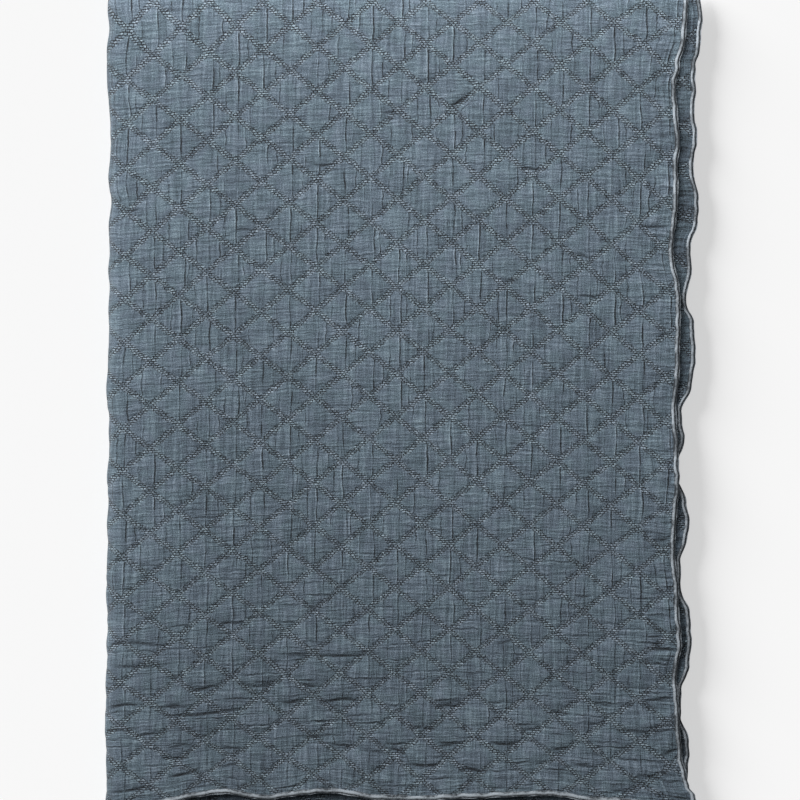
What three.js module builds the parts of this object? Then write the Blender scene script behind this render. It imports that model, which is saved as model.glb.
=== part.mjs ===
// A quilted cotton coverlet, folded in four and lying flat. Millimetres, +Z up.
// The origin is on the surface that it lies on, under the middle of its box.
// It is folded in half across its length, with that fold at the +Y end, and then in half
// across its width, with that fold at the -X side. The front half wraps round the back half,
// so from the top down lie a front layer, two back layers and a front layer.

import * as THREE from 'three';

// The cloth, as it lies
const CLOTH = {
  thick: 2.4, // along a seam
  puff: 1.2, // how far the middle of a diamond stands above its seams
  crown: 0.8, // the share of that which the rim of a diamond's pad has
  pad: 0.62, // how far the pad reaches from the middle of a diamond to its corners
  hemPuff: 0.3, // the share of the puff that is left at a hem or where the end fold starts
};

// The quilting: diamonds whose seams run corner to corner
const QUILT = {
  across: 60.5,
  down: 48.4,
  crossingX: -9, // one crossing of two seams on the top
  crossingY: -20,
};

// The stack of layers
const STACK = {
  layerGap: 1.6, // air between a front layer and the back layer beside it
  seamHeight: 16.8, // the top's seams above the surface, away from the side fold
  foldRadius: 14, // the top's seams, round the side fold
  slope: 260, // the length over which the top comes down from the side fold
  foldSide: -332, // the outermost place of the side fold, in X
  foldEnd: 463, // and of the end fold, in Y
  hemSide: 308, // the middle place of the top layer's side hem, in X
  hemEnd: -447, // and of its end hem, in Y
  rippleReach: 75, // how far in from a hem its ripples reach
};

// The overlocked edging: a roll of thread along all four edges of the cloth
const ROLL = {
  gap: 0.3, // between the cloth's edge and the roll
  inner: 1.4, // half height at the cloth's edge
  bodyOut: 2.6, // where the roll is highest
  body: 2, // half height there
  rimOut: 5, // from the roll's inner side to its rim
  rim: 1.1, // half height there
  sink: 0.9, // its middle below the cloth's seams
};

// How many steps each turn takes
const STEPS = { sideFold: 6, quiltOnFold: 4, endFold: 4, rollCorner: 3 };

// The top layer's hem on the +X side: a row for each crest and hollow of its ripples.
// along: the place in Y, out: the outer edge of the roll in X, up: how far it is lifted
const FRONT_SIDE_HEM = [
  { along: -462, out: 334, up: 2.5 },
  { along: -436, out: 326, up: 1.5 },
  { along: -400, out: 312, up: 0.5 },
  { along: -364, out: 309, up: 3 },
  { along: -310, out: 306, up: 0.6 },
  { along: -274, out: 311, up: 3.2 },
  { along: -225, out: 308, up: 2 },
  { along: -167, out: 303, up: 0.4 },
  { along: -86, out: 308, up: 3.4 },
  { along: -6, out: 303, up: 0.5 },
  { along: 38, out: 308, up: 2.8 },
  { along: 111, out: 310, up: 3 },
  { along: 165, out: 301, up: 0.4 },
  { along: 234, out: 307, up: 2.6 },
  { along: 263, out: 306, up: 1 },
  { along: 281, out: 309, up: 2.2 },
  { along: 353, out: 304, up: 0.5 },
  { along: 407, out: 315, up: 2 },
  { along: 442, out: 317, up: 0.6 },
  { along: 463, out: 322, up: 0 },
];

// The second layer's hem on the same side, which shows beyond the first
const BACK_SIDE_HEM = [
  { along: -466, out: 320, up: 0 },
  { along: -395, out: 318, up: 0.3 },
  { along: -345, out: 308, up: 1.6 },
  { along: -270, out: 320, up: 0.2 },
  { along: -194, out: 309, up: 1.8 },
  { along: -141, out: 318, up: 0.2 },
  { along: -80, out: 307, up: 1.5 },
  { along: -40, out: 312, up: 0.4 },
  { along: -15, out: 310, up: 1 },
  { along: 19, out: 323, up: 0.2 },
  { along: 57, out: 325, up: 0.2 },
  { along: 109, out: 315, up: 1.8 },
  { along: 156, out: 320, up: 0.3 },
  { along: 215, out: 329, up: 0.6 },
  { along: 262, out: 323, up: 0.2 },
  { along: 293, out: 327, up: 1 },
  { along: 321, out: 324, up: 0.3 },
  { along: 389, out: 329, up: 1 },
  { along: 436, out: 332, up: 0.2 },
  { along: 463, out: 324, up: 0 },
];

// The top layer's hem at the -Y end, with along in X and out in Y
const FRONT_END_HEM = [
  { along: -332, out: -458, up: 0 },
  { along: -290, out: -454, up: 1 },
  { along: -201, out: -441, up: 4 },
  { along: -156, out: -448, up: 2.2 },
  { along: -88, out: -441, up: 4.4 },
  { along: -21, out: -449, up: 2.4 },
  { along: 12, out: -450, up: 2.2 },
  { along: 80, out: -447, up: 3.2 },
  { along: 158, out: -444, up: 4.2 },
  { along: 225, out: -452, up: 2 },
  { along: 308, out: -461, up: 1.2 },
];

// The second layer's hem at that end
const BACK_END_HEM = [
  { along: -332, out: -464, up: 0 },
  { along: -250, out: -462, up: 0.4 },
  { along: -160, out: -466, up: 0.1 },
  { along: -60, out: -462, up: 0.8 },
  { along: 40, out: -466, up: 0.2 },
  { along: 150, out: -463, up: 0.8 },
  { along: 250, out: -466, up: 0.2 },
  { along: 320, out: -465, up: 0 },
];

// The hems of the two lower layers lie straight, hidden under the upper ones
const LOWER_HEM = { side: 301, frontEnd: -450, backEnd: -464 };

// The colours, as sRGB hex
const COLOUR = { cloth: 0x5f6e78, edging: 0x8f9ca5 };

// Worked out from the sizes above
const PAIR = 2 * CLOTH.thick + STACK.layerGap; // a front layer and its back layer, seam to seam
const OUTSIDE = PAIR / 2; // each face, as a distance from the middle of that pair
const INSIDE = STACK.layerGap / 2;
const HALF_ACROSS = QUILT.across / 2;
const HALF_DOWN = QUILT.down / 2;
const ROLL_OUT = ROLL.gap + ROLL.rimOut;
const HEM_X = STACK.hemSide - ROLL_OUT; // the cloth's own edges, inside the roll
const HEM_Y = STACK.hemEnd + ROLL_OUT;
const FOLD_X = STACK.foldSide + CLOTH.puff + STACK.foldRadius; // the axis of the side fold
const END_Y = STACK.foldEnd - CLOTH.puff - OUTSIDE; // the axis of the end fold
const TOP_RUN = HEM_X - FOLD_X;
const FOLD_RUN = Math.PI * STACK.foldRadius;
const LOWER_RUN = LOWER_HEM.side - ROLL_OUT - FOLD_X;
const WHOLE_RUN = TOP_RUN + FOLD_RUN + LOWER_RUN;
const FOLD_TOP = CLOTH.puff + 2 * STACK.foldRadius;

const mix = (a, b, share) => a + (b - a) * share;
const clamp = (value) => Math.min(1, Math.max(0, value));
const ease = (share) => clamp(share) ** 2 * (3 - 2 * clamp(share));
const near = (distance, reach) => 1 - ease(distance / reach);
const range = (count, make) => Array.from({ length: count }, (_, i) => make(i));

/** A column of a hem's table at a place along the hem, eased from row to row. */
function hemValue(table, column, along) {
  const last = table.length - 1;
  if (along <= table[0].along) return table[0][column];
  if (along >= table[last].along) return table[last][column];
  const next = table.findIndex((row) => row.along > along);
  const [a, b] = [table[next - 1], table[next]];
  return mix(a[column], b[column], ease((along - a.along) / (b.along - a.along)));
}

/** The height of the top's seams over a place in X. */
function topHeight(x) {
  return mix(FOLD_TOP, STACK.seamHeight, ease((x - FOLD_X) / STACK.slope));
}

/** The seam level of the front half at a run from the top hem, with the way that it faces. */
function frontSection(run) {
  if (run < TOP_RUN) {
    const x = HEM_X - run;
    return { x, z: topHeight(x), outX: 0, outZ: 1 };
  }
  if (run > TOP_RUN + FOLD_RUN) {
    return { x: FOLD_X + run - TOP_RUN - FOLD_RUN, z: CLOTH.puff, outX: 0, outZ: -1 };
  }
  const turn = (run - TOP_RUN) / STACK.foldRadius;
  const outX = -Math.sin(turn);
  const outZ = Math.cos(turn);
  const middle = CLOTH.puff + STACK.foldRadius;
  return { x: FOLD_X + STACK.foldRadius * outX, z: middle + STACK.foldRadius * outZ, outX, outZ };
}

/** How far the hems and their ripples move a point of the cloth. */
function hemShift(run, row, x) {
  const back = ease(row.turn);
  const upper = 1 - ease((run - TOP_RUN) / FOLD_RUN);
  const fromSide = near(Math.min(run, WHOLE_RUN - run), STACK.rippleReach);
  const fromEnd = near(row.y - HEM_Y, STACK.rippleReach);
  const side = (column) => mix(
    hemValue(FRONT_SIDE_HEM, column, row.y), hemValue(BACK_SIDE_HEM, column, row.y), back);
  const end = (column) => mix(
    hemValue(FRONT_END_HEM, column, x), hemValue(BACK_END_HEM, column, x), back);

  const lowerEnd = mix(LOWER_HEM.frontEnd, LOWER_HEM.backEnd, back);
  return new THREE.Vector3(
    (side('out') - STACK.hemSide) * fromSide * upper,
    (mix(lowerEnd, end('out'), upper) - STACK.hemEnd) * fromEnd,
    (side('up') * fromSide + end('up') * fromEnd * (1 - fromSide)) * upper,
  );
}

/**
 * A point of the folded cloth.
 * run: the way from the top side hem, round the side fold, to the lower side hem
 * row: its place in Y, and its turn round the end fold, 0 on the front and 1 on the back
 * spread: the distance from the middle of the pair of layers
 */
function clothPoint(run, row, spread) {
  const angle = row.turn * Math.PI;
  const depth = OUTSIDE - spread * Math.cos(angle);
  const section = frontSection(run);
  const point = new THREE.Vector3(
    section.x - depth * section.outX,
    row.y + spread * Math.sin(angle),
    section.z - depth * section.outZ,
  );
  return point.add(hemShift(run, row, point.x));
}

/** The quilting's columns: half a diamond apart, with the first and last moved to the hems. */
function quiltColumns() {
  const first = Math.round((HEM_X - QUILT.crossingX) / HALF_ACROSS);
  const last = Math.round(WHOLE_RUN / HALF_ACROSS);
  const start = HEM_X - QUILT.crossingX - first * HALF_ACROSS;
  return range(last + 1, (i) => {
    const rim = i === 0 || i === last;
    const run = rim ? (WHOLE_RUN * i) / last : start + i * HALF_ACROSS;
    return { run, rim, index: first - i, padded: !rim && run + HALF_ACROSS < TOP_RUN };
  });
}

/** The quilting's rows on the front half, from its hem to the start of the end fold. */
function quiltRows() {
  const first = Math.round((HEM_Y - QUILT.crossingY) / HALF_DOWN);
  const last = Math.round((END_Y - QUILT.crossingY) / HALF_DOWN);
  return range(last - first + 1, (i) => {
    const index = first + i;
    const rim = index === first || index === last;
    const inner = QUILT.crossingY + index * HALF_DOWN;
    return { y: rim ? mix(HEM_Y, END_Y, i / (last - first)) : inner, rim, index, turn: 0 };
  });
}

const COLUMNS = quiltColumns();
const FRONT_ROWS = quiltRows();
const TURN_ROWS = range(STEPS.endFold - 1, (i) => ({ y: END_Y, turn: (i + 1) / STEPS.endFold }));
const BACK_ROWS = FRONT_ROWS.map(({ y }) => ({ y, turn: 1 })).reverse();
const ROWS = [...FRONT_ROWS, ...TURN_ROWS, ...BACK_ROWS];

// The runs of the plain faces' columns: few, but as many as the quilting has near the end hem
const FOLD_RUNS = range(STEPS.sideFold + 1, (i) => TOP_RUN + (FOLD_RUN * i) / STEPS.sideFold);
const LOWER_RUNS = [300, 75, 30, 0].map((inward) => WHOLE_RUN - inward);
const PLAIN_RUNS = [0, 30, 75, 360, 425, 490, 555, ...FOLD_RUNS, ...LOWER_RUNS];
const TOP_RUNS = COLUMNS.map(({ run }) => run).filter((run) => run < TOP_RUN);
const RIPPLED_RUNS = [...TOP_RUNS, ...FOLD_RUNS, ...LOWER_RUNS];

/** A growing list of triangles, each given by its corners, counterclockwise from outside. */
class Skin {
  constructor() {
    this.corners = [];
  }

  add(a, b, c) {
    this.corners.push(a, b, c);
  }

  /** Fills the strip between two lines of points, each with its place along the line. */
  zip(lower, upper) {
    let [i, j] = [0, 0];
    while (i < lower.length - 1 || j < upper.length - 1) {
      const lowerNext = i < lower.length - 1 ? lower[i + 1].at : Infinity;
      const upperNext = j < upper.length - 1 ? upper[j + 1].at : Infinity;
      const next = lowerNext <= upperNext ? lower[i + 1] : upper[j + 1];
      this.add(lower[i].point, upper[j].point, next.point);
      if (lowerNext <= upperNext) i += 1;
      else j += 1;
    }
  }

  geometry() {
    return new THREE.BufferGeometry().setFromPoints(this.corners);
  }
}

/** The share by which the layers above press the underside flat, away from its rim. */
function pressedFlat(run, y) {
  const under = run - TOP_RUN - FOLD_RUN;
  if (under < 0) return 0;
  const fromRim = Math.min(under, WHOLE_RUN - run, y - HEM_Y, END_Y - y);
  return ease((fromRim - HALF_DOWN) / HALF_ACROSS);
}

/** How far the outside stands above its seams where a column crosses a row. */
function puffAt(column, row) {
  const isMiddle = (column.index + row.index) % 2 !== 0;
  const full = column.rim || row.rim ? CLOTH.hemPuff : 1;
  return CLOTH.puff * mix(isMiddle ? full : 0, 1, pressedFlat(column.run, row.y));
}

/** The outside's points along a row from one column to the next, more of them on the side fold. */
function quiltedStretch(left, right, row) {
  const bends = right.run > TOP_RUN && left.run < TOP_RUN + FOLD_RUN;
  const steps = bends ? STEPS.quiltOnFold : 1;
  return range(steps + 1, (i) => {
    const run = mix(left.run, right.run, i / steps);
    const puff = mix(puffAt(left, row), puffAt(right, row), i / steps);
    return { at: run, point: clothPoint(run, row, OUTSIDE + puff) };
  });
}

/** The outside's points along a whole row of the quilting. */
function quiltedLine(row) {
  const stretches = COLUMNS.slice(1).map((right, i) => quiltedStretch(COLUMNS[i], right, row));
  return [...stretches.flatMap((stretch) => stretch.slice(0, -1)), stretches.at(-1).at(-1)];
}

/** One triangle of the quilting: from the middle of a diamond to two of its corners. */
function addQuiltTriangle(skin, middle, first, second) {
  const at = ([column, row]) => clothPoint(column.run, row, OUTSIDE + puffAt(column, row));
  const [top, a, b] = [middle, first, second].map(at);
  if (!middle[0].padded || middle[1].rim) {
    skin.add(top, a, b);
    return;
  }
  const [padA, padB] = [first, second].map(([column, row]) => {
    const run = mix(middle[0].run, column.run, CLOTH.pad);
    const y = mix(middle[1].y, row.y, CLOTH.pad);
    return clothPoint(run, { y, turn: 0 }, OUTSIDE + CLOTH.puff * CLOTH.crown);
  });
  skin.add(top, padA, padB);
  skin.add(padA, a, b);
  skin.add(padA, b, padB);
}

/** The outside of the front half, with its quilting, rectangle by rectangle. */
function addQuiltedFront(skin) {
  FRONT_ROWS.slice(1).forEach((above, r) => {
    const below = FRONT_ROWS[r];
    COLUMNS.slice(1).forEach((right, c) => {
      const left = COLUMNS[c];
      const [lower, upper] = [quiltedStretch(left, right, below), quiltedStretch(left, right, above)];
      if (lower.length > 2) {
        skin.zip(lower, upper);
      } else if ((left.index + below.index) % 2 === 0) {
        addQuiltTriangle(skin, [right, below], [left, below], [right, above]);
        addQuiltTriangle(skin, [left, above], [right, above], [left, below]);
      } else {
        addQuiltTriangle(skin, [left, below], [left, above], [right, below]);
        addQuiltTriangle(skin, [right, above], [right, below], [left, above]);
      }
    });
  });
}

/** The points of a plain face along one row. */
function plainLine(row, spread) {
  const runs = row.y - HEM_Y < STACK.rippleReach ? RIPPLED_RUNS : PLAIN_RUNS;
  return runs.map((run) => ({ at: run, point: clothPoint(run, row, spread) }));
}

/** The cloth as one closed solid: two faces and the four cut edges between them. */
function makeCloth() {
  const skin = new Skin();
  addQuiltedFront(skin);
  const outerLines = ROWS.map((row) => ('index' in row ? quiltedLine(row) : plainLine(row, OUTSIDE)));
  const innerLines = ROWS.map((row) => plainLine(row, INSIDE));
  ROWS.slice(1).forEach((_, r) => {
    if (r >= FRONT_ROWS.length - 1) skin.zip(outerLines[r], outerLines[r + 1]);
    skin.zip(innerLines[r + 1], innerLines[r]);
  });
  const edge = (lines, end) => lines.map((line, at) => ({ at, point: line.at(end).point }));
  skin.zip(edge(outerLines, 0), edge(innerLines, 0));
  skin.zip(edge(innerLines, -1), edge(outerLines, -1));
  skin.zip(innerLines[0], outerLines[0]);
  skin.zip(outerLines.at(-1), innerLines.at(-1));
  return skin.geometry();
}

/** A place on the cloth's rim, with the way up from the cloth there and the way out of it. */
function rimFrame(run, row, inRun, inY) {
  const spread = OUTSIDE - ROLL.sink;
  const base = clothPoint(run, row, spread);
  const up = clothPoint(run, row, spread + 1).sub(base).normalize();
  const out = base.clone().sub(clothPoint(run + inRun, { ...row, y: row.y + inY }, spread));
  out.addScaledVector(up, -out.dot(up)).normalize();
  return { base, up, out };
}

/** The frames between two edges of the cloth, round the corner where they meet. */
function cornerFrames(from, to) {
  return range(STEPS.rollCorner - 1, (i) => {
    const angle = ((i + 1) / STEPS.rollCorner) * (Math.PI / 2);
    const out = from.out.clone().multiplyScalar(Math.cos(angle));
    out.addScaledVector(to.out, Math.sin(angle)).normalize();
    return { base: from.base, up: from.up, out };
  });
}

/** The edging: a roll with six sides, closed on itself round the cloth. */
function makeEdging() {
  const edges = [
    ROWS.map((row) => rimFrame(0, row, 1, 0)),
    RIPPLED_RUNS.map((run) => rimFrame(run, ROWS.at(-1), 0, 1)),
    ROWS.map((row) => rimFrame(WHOLE_RUN, row, -1, 0)).reverse(),
    quiltedLine(ROWS[0]).map(({ at }) => rimFrame(at, ROWS[0], 0, 1)).reverse(),
  ];
  const frames = edges.flatMap((edge, i) => (
    [...edge, ...cornerFrames(edge.at(-1), edges[(i + 1) % edges.length][0])]));
  const section = [
    [ROLL.gap, -ROLL.inner],
    [ROLL.bodyOut, -ROLL.body],
    [ROLL_OUT, -ROLL.rim],
    [ROLL_OUT, ROLL.rim],
    [ROLL.bodyOut, ROLL.body],
    [ROLL.gap, ROLL.inner],
  ];
  const rings = frames.map(({ base, up, out }) => section.map(([away, high]) => (
    base.clone().addScaledVector(out, away).addScaledVector(up, high))));
  const skin = new Skin();
  rings.forEach((ring, i) => {
    const next = rings[(i + 1) % rings.length];
    ring.forEach((corner, k) => {
      const after = (k + 1) % ring.length;
      skin.add(corner, next[k], next[after]);
      skin.add(corner, next[after], ring[after]);
    });
  });
  return skin.geometry();
}

/** A named mesh with a plain woven finish. */
function makePiece(name, geometry, colour) {
  geometry.computeVertexNormals();
  const finish = new THREE.MeshStandardMaterial({ color: colour, roughness: 0.95, metalness: 0 });
  const mesh = new THREE.Mesh(geometry, finish);
  mesh.name = name;
  return mesh;
}

const coverlet = new THREE.Group();
coverlet.add(makePiece('coverlet', makeCloth(), COLOUR.cloth));
coverlet.add(makePiece('edging', makeEdging(), COLOUR.edging));

// The middle of the box goes over the origin
const box = new THREE.Box3().setFromObject(coverlet);
const middle = box.getCenter(new THREE.Vector3());
coverlet.position.set(-middle.x, -middle.y, -box.min.z);

export default coverlet;
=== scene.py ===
"""A quilted cotton coverlet, folded in four and lying flat, in a plain pale studio.

The panel is folded in half across its length, with that fold at the +Y end, and then in half across
its width, with that fold at the -X side. From the top down lie a front layer, two back layers and a
front layer. Sizes are in millimetres until a mesh is made, which is in metres.
"""

import logging
import math
from dataclasses import dataclass, field
from enum import Enum
from typing import NamedTuple

import bpy
import numpy as np
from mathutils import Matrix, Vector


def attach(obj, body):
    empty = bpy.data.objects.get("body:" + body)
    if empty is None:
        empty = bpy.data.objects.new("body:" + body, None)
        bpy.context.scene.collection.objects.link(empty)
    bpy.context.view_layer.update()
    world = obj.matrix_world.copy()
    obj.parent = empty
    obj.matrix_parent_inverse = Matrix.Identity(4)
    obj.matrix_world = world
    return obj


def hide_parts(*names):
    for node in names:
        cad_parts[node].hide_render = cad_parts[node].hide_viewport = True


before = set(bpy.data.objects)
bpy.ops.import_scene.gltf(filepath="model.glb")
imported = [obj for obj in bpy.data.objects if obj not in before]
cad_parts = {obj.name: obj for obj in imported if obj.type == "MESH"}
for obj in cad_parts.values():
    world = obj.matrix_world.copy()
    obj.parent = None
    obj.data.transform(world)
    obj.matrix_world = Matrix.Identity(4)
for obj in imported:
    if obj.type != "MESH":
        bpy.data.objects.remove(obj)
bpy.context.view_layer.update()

MM = 0.001
ORIGIN = (0.05, 1.55)  # where the place from which the cloth is measured lies in the frame, in mm
SHARP_ANGLE = 60.0  # in degrees: an edge that turns more than that stays sharp
log = logging.getLogger("coverlet")

Number = float | np.ndarray  # a place or a share, or one for each point


def mix(a: Number, b: Number, share: Number) -> Number:
    """What lies between a and b, at that share of the way."""
    return a + (b - a) * share


def ease(share: Number) -> Number:
    """A share from 0 to 1 that starts and ends gently."""
    share = np.clip(share, 0.0, 1.0)
    return share * share * (3.0 - 2.0 * share)


def near(distance: Number, reach: float) -> Number:
    """How near a place is: 1 at no distance, falling gently to 0 at the reach."""
    return 1.0 - ease(distance / reach)


def hump(distance: Number, width: float) -> Number:
    """A soft bell of height 1 and about that half width."""
    return np.exp(-((distance / width) ** 2))


def sway(x: Number, y: Number, length: float) -> Number:
    """An uneven wave over a plane, between -1 and 1, with about that length from crest to hollow.

    Args:
        x: Places across, in millimetres.
        y: Places along, in millimetres.
        length: The size of the unevenness, in millimetres.

    Returns:
        The height of the wave at each place.
    """
    a, b = x / length, y / length
    first = np.sin(2.1 * a + 1.3 * np.sin(1.7 * b + 0.6) + 0.9 * np.sin(0.45 * b))
    second = np.sin(2.3 * b + 1.2 * np.sin(1.4 * a + 2.1) + 1.1 * np.sin(0.37 * a + 4.0))
    return (first + second) / 2.0


def to_linear(colour: str) -> tuple[float, float, float, float]:
    """A colour from its sRGB hex to linear light.

    Args:
        colour: The hex, such as 5f6e78.

    Returns:
        Its linear red, green and blue, and a full alpha.
    """
    parts = [int(colour[i : i + 2], 16) / 255.0 for i in (0, 2, 4)]
    linear = [c / 12.92 if c <= 0.04045 else ((c + 0.055) / 1.055) ** 2.4 for c in parts]
    return (*linear, 1.0)


class HemRow(NamedTuple):
    """A crest or hollow of a hem: its place along the hem, its outer edge, and how far it is lifted."""

    along: float
    out: float
    up: float


class Crease(NamedTuple):
    """A crease of the top layer: where it starts and ends, and how deep it is."""

    start_x: float
    start_y: float
    end_x: float
    end_y: float
    depth: float


# The top layer's hem on the +X side
FRONT_SIDE_HEM = (
    HemRow(-462, 334, 2.5),
    HemRow(-439, 326, 1.6),
    HemRow(-430, 319.5, 1.4),
    HemRow(-417, 316.5, 1.0),
    HemRow(-398, 311.5, 0.5),
    HemRow(-364, 309, 3.0),
    HemRow(-310, 306, 0.6),
    HemRow(-274, 311, 3.2),
    HemRow(-225, 308, 2.0),
    HemRow(-167, 304, 0.4),
    HemRow(-86, 308.5, 3.4),
    HemRow(-8, 305.5, 0.5),
    HemRow(38, 309, 2.8),
    HemRow(111, 310, 3.0),
    HemRow(165, 302, 0.4),
    HemRow(234, 307.5, 2.6),
    HemRow(263, 306.5, 1.0),
    HemRow(281, 309, 2.2),
    HemRow(353, 305, 0.5),
    HemRow(374, 309, 1.0),
    HemRow(407, 316, 2.0),
    HemRow(442, 318, 0.6),
    HemRow(463, 322, 0.0),
)

# The second layer's hem on the same side, which shows beyond the first
BACK_SIDE_HEM = (
    HemRow(-466, 320, 0.0),
    HemRow(-416, 318.5, 0.2),
    HemRow(-394, 320.5, 0.3),
    HemRow(-378, 319, 0.8),
    HemRow(-357, 310.5, 1.5),
    HemRow(-328, 311, 1.6),
    HemRow(-298, 320.5, 0.6),
    HemRow(-272, 323, 0.2),
    HemRow(-242, 321.5, 0.4),
    HemRow(-212, 310.5, 1.5),
    HemRow(-180, 310.5, 1.8),
    HemRow(-156, 318, 0.6),
    HemRow(-138, 321, 0.2),
    HemRow(-116, 317, 0.8),
    HemRow(-86, 307, 1.5),
    HemRow(-66, 309, 1.2),
    HemRow(-48, 315, 0.4),
    HemRow(-14, 311.5, 1.0),
    HemRow(15, 323, 0.4),
    HemRow(49, 327.6, 0.2),
    HemRow(86, 325.6, 0.5),
    HemRow(109, 316.5, 1.8),
    HemRow(146, 322.8, 0.5),
    HemRow(170, 321.5, 0.5),
    HemRow(200, 330, 0.6),
    HemRow(222, 331, 0.6),
    HemRow(261, 324.5, 0.2),
    HemRow(295, 329.3, 1.0),
    HemRow(322, 325.8, 0.3),
    HemRow(345, 327.8, 0.4),
    HemRow(374, 327, 1.0),
    HemRow(396, 332.8, 0.6),
    HemRow(430, 335, 0.2),
    HemRow(463, 330, 0.0),
)

# The side fold's outline
SIDE_FOLD = (
    HemRow(-463, -335.5, 0.0),
    HemRow(-416, -334.0, 0.0),
    HemRow(-375, -335.6, 0.0),
    HemRow(-290, -334.2, 0.0),
    HemRow(-260, -333.0, 0.0),
    HemRow(-195, -334.2, 0.0),
    HemRow(-168, -332.0, 0.0),
    HemRow(-145, -333.8, 0.0),
    HemRow(-120, -332.0, 0.0),
    HemRow(-103, -333.6, 0.0),
    HemRow(-66, -331.8, 0.0),
    HemRow(-24, -331.0, 0.0),
    HemRow(-6, -333.8, 0.0),
    HemRow(40, -332.8, 0.0),
    HemRow(66, -330.6, 0.0),
    HemRow(92, -331.8, 0.0),
    HemRow(118, -329.6, 0.0),
    HemRow(142, -332.3, 0.0),
    HemRow(164, -329.8, 0.0),
    HemRow(188, -332.0, 0.0),
    HemRow(218, -327.8, 0.0),
    HemRow(238, -332.0, 0.0),
    HemRow(272, -330.4, 0.0),
    HemRow(306, -329.0, 0.0),
    HemRow(336, -332.2, 0.0),
    HemRow(386, -334.0, 0.0),
    HemRow(416, -329.6, 0.0),
    HemRow(440, -333.0, 0.0),
    HemRow(463, -331.0, 0.0),
)

# The top layer's hem at the -Y end
FRONT_END_HEM = (
    HemRow(-332, -458, 0.0),
    HemRow(-290, -454, 1.0),
    HemRow(-201, -441, 4.0),
    HemRow(-156, -448, 2.2),
    HemRow(-88, -441, 4.4),
    HemRow(-21, -449, 2.4),
    HemRow(12, -450, 2.2),
    HemRow(80, -447, 3.2),
    HemRow(158, -444, 4.2),
    HemRow(225, -452, 2.0),
    HemRow(308, -461, 1.2),
)

# The second layer's hem at that end
BACK_END_HEM = (
    HemRow(-332, -464, 0.0),
    HemRow(-250, -462, 0.4),
    HemRow(-160, -466, 0.1),
    HemRow(-60, -462, 0.8),
    HemRow(40, -466, 0.2),
    HemRow(150, -463, 0.8),
    HemRow(250, -466, 0.2),
    HemRow(320, -465, 0.0),
)

# The main creases of the top layer, from the far end to the near one
CREASES = (
    Crease(48, 327, 78, 343, 1.3),
    Crease(14, 357, 38, 358, 0.7),
    Crease(205, 358, 222, 359, 0.6),
    Crease(-26, 318, -7, 323, 0.7),
    Crease(132, 257, 157, 259, 0.8),
    Crease(-111, 264, -74, 262, 0.7),
    Crease(-316, 208, -294, 214, 0.8),
    Crease(267, 195, 302, 191, 0.9),
    Crease(-197, 187, -165, 190, 0.7),
    Crease(191, 161, 208, 159, 0.9),
    Crease(196, 114, 218, 116, 0.8),
    Crease(282, -157, 302, -155, 0.8),
    Crease(189, -221, 212, -220, 0.7),
    Crease(99, -272, 133, -270, 0.8),
    Crease(-210, -252, -179, -250, 0.8),
    Crease(-332, -273, -264, -275, 0.8),
    Crease(269, -281, 303, -279, 1.0),
    Crease(-142, -287, -18, -286, 0.9),
    Crease(-330, -299, -262, -297, 1.0),
    Crease(-244, -325, -204, -321, 1.1),
    Crease(-330, -343, -292, -342, 0.9),
    Crease(-268, -343, -245, -344, 0.8),
    Crease(-206, -338, -173, -336, 0.6),
    Crease(-180, -323, -140, -317, 1.0),
    Crease(-116, -320, -93, -321, 0.9),
    Crease(-139, -340, -108, -336, 1.1),
    Crease(-94, -338, -52, -337, 1.2),
    Crease(262, -338, 300, -336, 1.0),
    Crease(33, -345, 66, -343, 1.0),
    Crease(212, -341, 236, -343, 0.8),
    Crease(162, -349, 187, -352, 0.8),
    Crease(-268, -354, -180, -348, 1.1),
    Crease(-332, -370, -308, -371, 0.8),
    Crease(-299, -375, -268, -373, 0.9),
    Crease(-239, -379, -214, -375, 0.7),
    Crease(134, -371, 156, -369, 0.8),
    Crease(8, -369, 38, -368, 1.1),
    Crease(246, -372, 303, -371, 0.9),
    Crease(-118, -377, -64, -378, 0.8),
    Crease(-84, -386, -56, -392, 0.9),
    Crease(-54, -394, -20, -394, 0.6),
    Crease(-18, -392, 6, -395, 1.1),
    Crease(38, -390, 68, -383, 1.0),
    Crease(96, -386, 134, -385, 1.1),
    Crease(164, -391, 188, -394, 1.0),
    Crease(280, -396, 302, -393, 0.9),
    Crease(-266, -390, -232, -386, 0.9),
    Crease(-208, -394, -180, -389, 1.0),
    Crease(-274, -404, -238, -400, 1.1),
    Crease(0, -408, 46, -407, 1.2),
    Crease(146, -410, 162, -409, 0.7),
    Crease(186, -409, 210, -411, 0.8),
    Crease(-205, -415, -181, -414, 1.0),
    Crease(60, -415, 98, -417, 1.1),
    Crease(252, -423, 283, -421, 1.0),
    Crease(-266, -425, -226, -417, 1.1),
    Crease(-330, -437, -274, -434, 0.9),
    Crease(228, -437, 254, -437, 0.8),
)


class Stands(Enum):
    """Which way from the middle of its diamond a pleat lies."""

    RIGHT = "right"
    ABOVE = "above"


class Pleat(NamedTuple):
    """A fine pleat that most diamonds have: how far from the middle it lies and varies, how far it
    wanders, half its width, how dark it is, and in what share of the diamonds it is present."""

    stands: Stands
    at: float
    vary: float
    wander: float
    wide: float
    dark: float
    present: float


PLEATS = (
    Pleat(Stands.RIGHT, 4.0, 6.0, 4.5, 1.15, 0.95, 0.85),
    Pleat(Stands.RIGHT, 13.5, 6.0, 4.0, 1.0, 0.7, 0.65),
    Pleat(Stands.RIGHT, -10.5, 8.0, 4.0, 1.0, 0.6, 0.65),
    Pleat(Stands.ABOVE, 10.0, 8.0, 5.0, 1.6, 0.6, 0.5),
    Pleat(Stands.ABOVE, 0.0, 8.0, 5.0, 1.5, 0.55, 0.6),
    Pleat(Stands.ABOVE, -10.0, 8.0, 5.0, 1.7, 0.7, 0.7),
)


class Lit(Enum):
    """What a lamp lights."""

    FLOOR = "floor"
    CLOTH = "cloth"


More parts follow.
